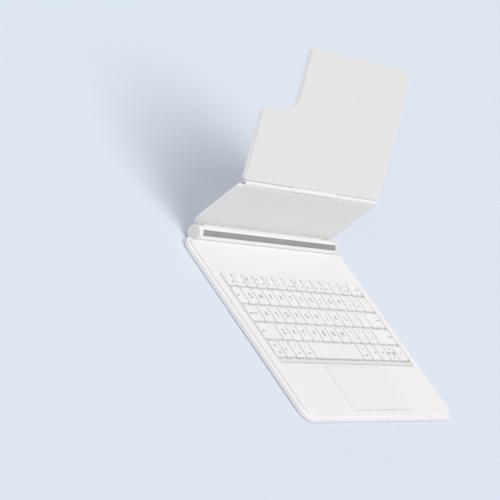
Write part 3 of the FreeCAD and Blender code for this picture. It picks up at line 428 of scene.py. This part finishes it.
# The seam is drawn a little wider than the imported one, so that it shows in the picture
SKIN_GAP = 0.55 * MM
SKIN_DEPTH = 0.5 * MM


def make_panel(prefix, body, place, outline, front):
    """Make the frame, the let-in sheet and the lining of one panel."""
    back_place = place @ Matrix.Translation((0, front + PANEL_THICKNESS, 0)) @ STAND_UP
    lining_place = place @ Matrix.Translation((0, front + LINING, 0)) @ STAND_UP
    frame_plate = plate(outline, 0, PANEL_THICKNESS - LINING, (PANEL_ROLL, 0),
                        pocket=(grown(outline, -SKIN_INSET), SKIN_DEPTH))
    new_piece(prefix + "_frame", frame_plate, MOULDED, body,
              [prefix + "_panel_frame"], back_place)
    sheet = plate(grown(outline, -SKIN_INSET - SKIN_GAP), 0, SKIN_DEPTH, (SKIN_ROLL, 0))
    new_piece(prefix + "_sheet", sheet, SOFT_TOUCH, body,
              [prefix + "_outer_skin"], back_place)
    # The lining's grey colour is partly painted shade
    lining = plate(outline, 0, LINING, (0, LINING_ROLL))
    new_piece(prefix + "_lining", lining, MICROFIBRE_PAINTED_SHADE, body,
              [prefix + "_inner_skin"], lining_place)


# %% Make the two panels
PANEL_HALF = 115.0 * MM
LOWER_SPAN = (-2.5 * MM, 55.4 * MM)
LOWER_FRONT = 6.6 * MM
UPPER_SPAN = (2.6 * MM, 118.0 * MM)
FOLD_RADIUS = 2.5 * MM
FOOT_RADIUS = 16.0 * MM
TOP_RADIUS = 9.0 * MM
NOTCH_WIDTH = 52.0 * MM
NOTCH_HEIGHT = 56.0 * MM
NOTCH_RADIUS = 14.0 * MM
NOTCH_ENDS = 5.0 * MM
lower_outline = oblong(-PANEL_HALF, PANEL_HALF, *LOWER_SPAN, FOOT_RADIUS)
lower_outline[2:] = [(x, y, FOLD_RADIUS) for x, y, radius in lower_outline[2:]]
make_panel("lower", "stand_lower", LOWER_PLACE, lower_outline, LOWER_FRONT)
upper_low, upper_high = UPPER_SPAN
notch_side = NOTCH_WIDTH - PANEL_HALF
notch_shelf = upper_high - NOTCH_HEIGHT
upper_outline = [(-PANEL_HALF, upper_low, FOLD_RADIUS), (PANEL_HALF, upper_low, FOLD_RADIUS),
                 (PANEL_HALF, upper_high, TOP_RADIUS), (notch_side, upper_high, NOTCH_ENDS),
                 (notch_side, notch_shelf, NOTCH_RADIUS), (-PANEL_HALF, notch_shelf, NOTCH_ENDS)]
make_panel("upper", "stand_upper", UPPER_PLACE, upper_outline, -PANEL_THICKNESS / 2)

# %% [markdown]
# ## Hinge barrel
# The barrel is a white sleeve that turns on a grey core, with a slot along it that lets the core show.
# The core and the end discs are turned shapes, so a half section is spun right round the axis. The slot
# could be cut out of a whole tube, but a cut leaves ragged faces. So the sleeve, and the friction clips
# like it, are a flat section spun only part of the way round. A web joins the sleeve to its panel.

# %% Turned shapes and open tubes
TURN_STEPS = 72
# Points that are nearer to each other than this are merged
SAME_POINT = 0.0001 * MM
AXIS = (1, 0, 0)
ORIGIN = (0, 0, 0)


def turned(profile):
    """Spin a half section, given as places along X and radii, into a closed shape."""
    bm = bmesh.new()
    points = [bm.verts.new((x, radius, 0)) for x, radius in profile]
    edges = [bm.edges.new(pair) for pair in zip(points, points[1:])]
    bmesh.ops.spin(bm, geom=points + edges, cent=ORIGIN, axis=AXIS, angle=math.tau, steps=TURN_STEPS,
                   use_merge=True)
    bmesh.ops.remove_doubles(bm, verts=bm.verts[:], dist=SAME_POINT)
    bmesh.ops.recalc_face_normals(bm, faces=bm.faces[:])
    return bm


def open_tube(left, right, inner, outer, slot_turn, slot_width, roll):
    """A tube along X with rolled edges and a slot along it in one direction."""
    half_slot = math.asin(slot_width / 2 / outer)
    bm = bmesh.new()
    corners = ((left, inner, 0), (right, inner, 0), (right, outer, 0), (left, outer, 0))
    section = bm.faces.new([bm.verts.new(corner) for corner in corners])
    slot_edge = Matrix.Rotation(slot_turn + half_slot, 3, "X")
    bmesh.ops.rotate(bm, cent=ORIGIN, matrix=slot_edge, verts=bm.verts[:])
    bmesh.ops.spin(bm, geom=[section], cent=ORIGIN, axis=AXIS, angle=math.tau - 2 * half_slot,
                   steps=TURN_STEPS)
    bmesh.ops.recalc_face_normals(bm, faces=bm.faces[:])
    edges = [edge for edge in bm.edges if edge.is_manifold and edge.calc_face_angle() > SHARP_TURN]
    bmesh.ops.bevel(bm, geom=edges, affect="EDGES", offset=roll, segments=EDGE_STEPS, profile=0.5,
                    material=-1)
    return bm


# %% Joined meshes
def joined(parts):
    """Put several meshes into one."""
    whole = bmesh.new()
    for part in parts:
        mesh = bpy.data.meshes.new("part")
        part.to_mesh(mesh)
        part.free()
        whole.from_mesh(mesh)
        bpy.data.meshes.remove(mesh)
    return whole


# %% Make the sleeve and its clips
SLEEVE_RADIUS = 6.2 * MM
SLEEVE_BORE = 5.0 * MM
SLEEVE_HALF = 111.5 * MM
SLEEVE_ROLL = 0.25 * MM
SLOT_WIDTH = 5.4 * MM
SLOT_TURN = math.radians(128) + LOWER_LEAN
WEB_HALF = PANEL_HALF - FOOT_RADIUS
WEB_SINK = 0.4 * MM
WEB_FRONT = SLEEVE_RADIUS - WEB_SINK
WEB_LOW = -1.25 * MM
WEB_HIGH = 2.5 * MM
CLIP_BORE = 4.2 * MM
CLIP_RADIUS = 4.96 * MM
CLIP_IN = 84.0 * MM
CLIP_OUT = 96.0 * MM
CLIP_ROLL = 0.08 * MM
AT_HINGE = Matrix.Translation(HINGE)
web_outline = oblong(-WEB_HALF, WEB_HALF, WEB_LOW, WEB_HIGH, LEAST_RADIUS)
web = plate(web_outline, 0, LOWER_FRONT - WEB_FRONT, (0, 0))
web_place = Matrix.Rotation(LOWER_LEAN, 4, "X") @ Matrix.Translation((0, LOWER_FRONT, 0)) @ STAND_UP
bmesh.ops.transform(web, matrix=web_place, verts=web.verts[:])
tube = open_tube(-SLEEVE_HALF, SLEEVE_HALF, SLEEVE_BORE, SLEEVE_RADIUS, SLOT_TURN, SLOT_WIDTH, SLEEVE_ROLL)
new_piece("barrel_sleeve", joined([tube, web]), MOULDED, "stand_lower",
          ["hinge_sleeve"], AT_HINGE)
clips = [open_tube(near, far, CLIP_BORE, CLIP_RADIUS, SLOT_TURN + math.pi, SLOT_WIDTH, CLIP_ROLL)
         for near, far in ((-CLIP_OUT, -CLIP_IN), (CLIP_IN, CLIP_OUT))]
new_piece("clips", joined(clips), SPRING_STEEL, "stand_lower",
          ["friction_clips"], AT_HINGE)

# %% Make the core and the end discs
CORE_RADIUS = 4.92 * MM
CORE_HALF = 111.65 * MM
PIN_RADIUS = 2.5 * MM
PIN_HALF = 114.8 * MM
GROOVE_RADIUS = 4.12 * MM
GROOVE_IN = 83.92 * MM
GROOVE_OUT = 96.08 * MM
DISC_IN = 115.8 * MM
DISC_OUT = 117.0 * MM
DISC_ROLL = 0.6 * MM
right_half = [(GROOVE_IN, CORE_RADIUS), (GROOVE_IN, GROOVE_RADIUS), (GROOVE_OUT, GROOVE_RADIUS),
              (GROOVE_OUT, CORE_RADIUS), (CORE_HALF, CORE_RADIUS), (CORE_HALF, PIN_RADIUS),
              (PIN_HALF, PIN_RADIUS), (PIN_HALF, 0)]
left_half = [(-x, radius) for x, radius in reversed(right_half)]
new_piece("barrel_core", turned(left_half + right_half), HINGE_GREY, "base",
          ["hinge_core"], AT_HINGE)
disc_edge = [(DISC_OUT - rise, SLEEVE_RADIUS - inset) for inset, rise in reversed(quarter_round(DISC_ROLL))]
disc_half = [(DISC_IN, 0), (DISC_IN, SLEEVE_RADIUS)] + disc_edge + [(DISC_OUT, 0)]
for side, facing in (("left", -1), ("right", 1)):
    disc = turned([(facing * x, radius) for x, radius in disc_half])
    # The end discs take the grey plastic: a painted shade
    new_piece("end_disc_" + side, disc, PAINTED_SHADE_GREY, "base",
              ["hinge_end_cap_" + side], AT_HINGE)

# %% [markdown]
# ## Tray, fold hinge and socket
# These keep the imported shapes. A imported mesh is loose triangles, which shade each facet flat, so a copy
# has its doubles merged and is shaded evenly: round walls then look round.

# %% Make even copies
SAME_PACKED_POINT = 0.001 * MM


def even_copy(node):
    """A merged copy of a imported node's mesh."""
    bm = bmesh.new()
    bm.from_mesh(NODES[node].data)
    bmesh.ops.remove_doubles(bm, verts=bm.verts[:], dist=SAME_PACKED_POINT)
    return bm


EVEN_COPIES = {
    "tray": ("base_tray", "base"), "fold_leaf_lower": ("fold_lower_leaf", "stand_lower"),
    "fold_leaf_upper": ("fold_upper_leaf", "stand_upper"), "fold_wire": ("fold_pin", "stand_lower"),
    "charging_socket": ("usb_c_socket", "base"), "charge_lamp": ("status_light", "base"),
}
for name, (node, body) in EVEN_COPIES.items():
    slot = SLOT_OF_NODE[node]
    new_piece(name, even_copy(node), FINISH_OF_SLOT[slot], body, [node])

# %% [markdown]
# ## Key caps
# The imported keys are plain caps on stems, with cut corners. The real caps have rounded corners, nearly
# upright sides and a rolled top edge. The sides take a soft grey from the light above, which is most of
# what the eye sees of a white keyboard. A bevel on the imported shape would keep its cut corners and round
# its stem as well, so new caps are made. Each packed key is a shell of its own, so its box is read from
# the frame, and a soft cap is made inside it, shorter at the front, where the real gaps are wider. The
# back corners are tighter than the front ones, so that fewer dark specks show along the back of a row.

# %% Boxes of the separate shells in a node
def shell_boxes(node):
    """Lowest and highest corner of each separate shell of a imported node, from left to right."""
    bm = even_copy(node)
    waiting = set(bm.verts)
    boxes = []
    while waiting:
        reached = [waiting.pop()]
        shell = []
        while reached:
            vert = reached.pop()
            shell.append(vert.co.copy())
            fresh = {edge.other_vert(vert) for edge in vert.link_edges} & waiting
            waiting -= fresh
            reached.extend(fresh)
        boxes.append((Vector(map(min, *shell)), Vector(map(max, *shell))))
    bm.free()
    return sorted(boxes, key=lambda box: box[0].x)


KEY_NODES = [name for name in NODES if name.startswith("key_") or name.endswith("_row_keys")]
KEY_NODES.remove("key_plate")
KEY_BOXES = {node: shell_boxes(node) for node in KEY_NODES}
print("keys:", sum(len(boxes) for boxes in KEY_BOXES.values()))

# %% Make the caps
KEY_THICKNESS = 1.8 * MM
KEY_CORNER = 2.4 * MM
KEY_BACK_CORNER = 1.4 * MM
KEY_DRAFT = 0.12 * MM
KEY_ROLLS = (0.15 * MM, 0.3 * MM)
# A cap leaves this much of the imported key's box free, for gaps about as wide as the real ones
KEY_SIDE_ROOM = 0.35 * MM
KEY_FRONT_ROOM = 1.2 * MM


def cap_box(low, high):
    """Lowest and highest corner of the soft cap in a packed key's box."""
    return (Vector((low.x + KEY_SIDE_ROOM, low.y + KEY_FRONT_ROOM, high.z - KEY_THICKNESS)),
            Vector((high.x - KEY_SIDE_ROOM, high.y - KEY_SIDE_ROOM, high.z)))


def soft_cap(low, high):
    """One key cap with rounded corners, nearly upright sides and a rolled top edge."""
    outline = oblong(low.x, high.x, low.y, high.y, KEY_CORNER)
    outline[2:] = [(x, y, KEY_BACK_CORNER) for x, y, radius in outline[2:]]
    return plate(outline, low.z, high.z, KEY_ROLLS, draft=KEY_DRAFT)


CAP_BOXES = {node: [cap_box(low, high) for low, high in boxes] for node, boxes in KEY_BOXES.items()}
for node, boxes in CAP_BOXES.items():
    caps = joined([soft_cap(low, high) for low, high in boxes])
    new_piece("cap_" + node, caps, KEY_CAP, node, [node])

# %% [markdown]
# ## Key rim
# The keys sit in a module of their own, whose rim lies just under the deck. The rim is painted light grey,
# a painted shade along the well. The fine seam between the two draws a line round the well, so the rim is
# a plate with a window, a seam smaller than the well.

# %% Make the rim of the key module
RIM_SEAM = 0.9 * MM
RIM_DROP = 0.25 * MM
RIM_ROOM = 0.7 * MM
RIM_ROLL = 0.2 * MM
packed_boxes = [box for boxes in KEY_BOXES.values() for box in boxes]
field_low = Vector(map(min, *[low for low, high in packed_boxes]))
field_high = Vector(map(max, *[high for low, high in packed_boxes]))
field_outline = grown(oblong(field_low.x, field_high.x, field_low.y, field_high.y, KEY_CORNER), RIM_ROOM)
rim_low = heights_of("key_plate")[1]
rim_high = heights_of("deck_cover")[1] - RIM_DROP
rim = plate(grown(well_outline, -RIM_SEAM), rim_low, rim_high, (0, RIM_ROLL), [(field_outline, RIM_ROLL)])
# The rim's light grey is a painted shade along the well
new_piece("key_module_rim", rim, PAINTED_SHADE_GREY, "base")

# %% [markdown]
# ## Key legends
# The legends are plain letters, digits, signs and short words, printed in grey. A picture laid over the
# keys would blur close up, but text made into a mesh gives crisp print that stays with its key. A lone
# word sits at the key's edge, and a pair is printed one above the other. A key of the number row also has
# a small plain mark beside its lower sign, and an arrow is a small triangle.

# %% What is printed
ROW_SIGNS = {
    "number_row_keys": ["~`", "!1", "@2", "#3", "$4", "%5", "^6", "&7", "*8", "(9", ")0", "_-", "+="],
    "top_row_keys": list("QWERTYUIOP") + ["{[", "}]", "|\\"],
    "home_row_keys": list("ASDFGHJKL") + [":;", "\"'"],
    "bottom_row_keys": list("ZXCVBNM") + ["<,", ">.", "?/"],
}
KEY_WORDS = {
    "key_backspace": ("back", "RIGHT"), "key_tab": ("tab", "LEFT"), "key_caps": ("caps lock", "LEFT"),
    "key_return": ("enter", "RIGHT"), "key_shift_left": ("shift", "LEFT"),
    "key_shift_right": ("shift", "RIGHT"), "key_modifier_2": ("ctrl", "LEFT"),
    "key_modifier_6": ("alt", "RIGHT"),
}
KEY_PAIRS = {
    "key_modifier_1": ("fn", "lang"), "key_modifier_3": ("^", "alt"), "key_modifier_4": ("+", "sym"),
    "key_modifier_5": ("+", "sym"),
}
ARROW_TURNS = {"key_arrow_right": 0, "key_arrow_up": 90, "key_arrow_left": 180, "key_arrow_down": 270}
print("rows of signs:", len(ROW_SIGNS), "keys with words:", len(KEY_WORDS) + len(KEY_PAIRS))

# %% Print helpers
PRINT_HEIGHT = 0.02 * MM
CURVE_STEPS = 3


def moved(bm, x, y, z):
    """The same mesh in another place."""
    bmesh.ops.translate(bm, vec=(x, y, z), verts=bm.verts[:])
    return bm


def printed(words, size, x, y, z, align="CENTER"):
    """Flat print of some words, as a mesh with a little height."""
    curve = bpy.data.curves.new("print", "FONT")
    curve.body = words
    curve.size = size
    curve.align_x = align
    curve.align_y = "CENTER"
    curve.resolution_u = CURVE_STEPS
    curve.extrude = PRINT_HEIGHT
    writer = bpy.data.objects.new("print", curve)
    mesh = bpy.data.meshes.new_from_object(writer)
    bm = bmesh.new()
    bm.from_mesh(mesh)
    bmesh.ops.remove_doubles(bm, verts=bm.verts[:], dist=SAME_POINT)
    bpy.data.objects.remove(writer)
    bpy.data.curves.remove(curve)
    bpy.data.meshes.remove(mesh)
    return moved(bm, x, y, z)


def flat_sign(sides, radius, turn):
    """A small printed polygon round the origin."""
    bm = bmesh.new()
    bmesh.ops.create_cone(bm, cap_ends=True, segments=sides, radius1=radius, radius2=radius,
                          depth=2 * PRINT_HEIGHT)
    turning = Matrix.Rotation(math.radians(turn), 3, "Z")
    bmesh.ops.rotate(bm, cent=ORIGIN, matrix=turning, verts=bm.verts[:])
    return bm


# %% The prints of one key
LETTER_SIZE = 6.8 * MM
SIGN_SIZE = 4.4 * MM
WORD_SIZE = 3.2 * MM
WORD_MARGIN = 2.2 * MM
SIGN_SHIFT = 0.21
SIGN_ASIDE = 0.22
MARK_RADIUS = 0.9 * MM
MARK_SIDES = (12, 4, 3)
ARROW_RADIUS = 1.35 * MM
ARROW_SIDES = 3
# The first corner of a new polygon points along Y, a quarter turn from X
FIRST_CORNER = 90


def key_legend(node, index, low, high):
    """The prints of one key, in place on its top."""
    middle = (low + high) / 2
    top = high.z
    step = SIGN_SHIFT * (high.y - low.y)
    aside = SIGN_ASIDE * (high.x - low.x)
    if node == "number_row_keys":
        upper, lower = ROW_SIGNS[node][index]
        mark = flat_sign(MARK_SIDES[index % len(MARK_SIDES)], MARK_RADIUS, 0)
        return [printed(upper, SIGN_SIZE, middle.x - aside, middle.y + step, top),
                printed(lower, SIGN_SIZE, middle.x - aside, middle.y - step, top),
                moved(mark, middle.x + aside, middle.y - step, top)]
    if node in ROW_SIGNS:
        signs = ROW_SIGNS[node][index]
        if len(signs) == 1:
            return [printed(signs, LETTER_SIZE, middle.x, middle.y, top)]
        return [printed(signs[0], SIGN_SIZE, middle.x, middle.y + step, top),
                printed(signs[1], SIGN_SIZE, middle.x, middle.y - step, top)]
    if node in KEY_PAIRS:
        sign, word = KEY_PAIRS[node]
        return [printed(sign, SIGN_SIZE, middle.x, middle.y + step, top),
                printed(word, WORD_SIZE, middle.x, middle.y - step, top)]
    if node in KEY_WORDS:
        word, edge = KEY_WORDS[node]
        x = high.x - WORD_MARGIN if edge == "RIGHT" else low.x + WORD_MARGIN
        return [printed(word, WORD_SIZE, x, middle.y, top, edge)]
    if node in ARROW_TURNS:
        arrow = flat_sign(ARROW_SIDES, ARROW_RADIUS, ARROW_TURNS[node] - FIRST_CORNER)
        return [moved(arrow, middle.x, middle.y, top)]
    return []


# %% Make the legends
for node, boxes in CAP_BOXES.items():
    prints = [part for index, (low, high) in enumerate(boxes) for part in key_legend(node, index, low, high)]
    if prints:
        new_piece("legend_" + node, joined(prints), LEGEND_INK, node)

# %% [markdown]
# ## Floor, light and camera
# A pale floor, a strong light above and in front, weak ones from the left and from behind, and an even sky
# give the bright, low-contrast look of a product picture. The lights are suns with a wide disc: their
# shadows are as soft as a large lamp's, and they light the floor evenly out to the horizon. The camera is
# far away with a long lens, tilted round its own axis, as the picture was.

# %% Floor
FLOOR_HALF = 40.0
FLOOR_DROP = 0.1 * MM
# Painted floor: matt and even, so that little but the soft shadow shows on it
FLOOR_PAINT = grained("painted_studio_floor", "#DCE5F1", "#D8E2EF", grain_mm=40.0, relief_mm=0.0,
                      rough=(0.7, 0.8))
ground = bmesh.new()
bmesh.ops.create_grid(ground, x_segments=1, y_segments=1, size=FLOOR_HALF)
bmesh.ops.translate(ground, vec=(0, 0, -FLOOR_DROP), verts=ground.verts[:])
floor_mesh = bpy.data.meshes.new("floor")
ground.to_mesh(floor_mesh)
ground.free()
floor_mesh.materials.append(FLOOR_PAINT)
floor = bpy.data.objects.new("floor", floor_mesh)
bpy.context.scene.collection.objects.link(floor)
print("floor, metres from side to side:", 2 * FLOOR_HALF)

# %% Lights
CENTRE = (CAD_BOX[0] + CAD_BOX[1]) / 2
# Spots are metres from the middle of the object, and spreads are degrees
LIGHTS = {
    "key_light": {"spot": (-0.12, -0.8, 1.6), "spread": 50, "power": 1.66, "colour": "#FFFFFF"},
    "left_light": {"spot": (-1.4, -0.3, 0.6), "spread": 40, "power": 0.37, "colour": "#FFF2E8"},
    "back_light": {"spot": (0.4, 1.6, 0.7), "spread": 40, "power": 0.38, "colour": "#FFF9F4"},
}
SKY_COLOUR = "#FFFEFE"
SKY_STRENGTH = 0.48


def soft_light(name, spot, spread, power, colour):
    """A broad, even light that shines from a spot to the middle of the object."""
    lamp = bpy.data.lights.new(name, "SUN")
    lamp.angle = math.radians(spread)
    lamp.energy = power
    lamp.color = linear(colour)[:3]
    lantern = bpy.data.objects.new(name, lamp)
    lantern.location = CENTRE + Vector(spot)
    lantern.rotation_euler = (-Vector(spot)).to_track_quat("-Z", "Y").to_euler()
    bpy.context.scene.collection.objects.link(lantern)


for name, light in LIGHTS.items():
    soft_light(name, **light)
world = bpy.data.worlds.new("studio")
world.use_nodes = True
sky = world.node_tree.nodes["Background"]
sky.inputs["Color"].default_value = linear(SKY_COLOUR)
sky.inputs["Strength"].default_value = SKY_STRENGTH
bpy.context.scene.world = world
bpy.context.scene.view_settings.view_transform = "Standard"
print("lights:", len(LIGHTS))

# %% Camera
IMAGE_SIDE = 500
FOCAL_PIXELS = 2369.8
SENSOR = 36.0
# Matched to the photograph: where the camera is, which way it looks and where its right side points
CAMERA_EYE = Vector((-1.7287, -0.6308, 0.7130))
CAMERA_AHEAD = Vector((0.8598, 0.3628, -0.3593))
CAMERA_RIGHT = Vector((0.5077, -0.5320, 0.6777))
lens = bpy.data.cameras.new("camera")
lens.sensor_width = SENSOR
lens.lens = FOCAL_PIXELS / IMAGE_SIDE * SENSOR
back = -CAMERA_AHEAD.normalized()
right = (CAMERA_RIGHT - back * CAMERA_RIGHT.dot(back)).normalized()
up = back.cross(right)
camera = bpy.data.objects.new("camera", lens)
camera.matrix_world = Matrix.Translation(CAMERA_EYE) @ Matrix((right, up, back)).transposed().to_4x4()
bpy.context.scene.collection.objects.link(camera)
bpy.context.scene.camera = camera
print("lens, millimetres:", round(lens.lens, 1))
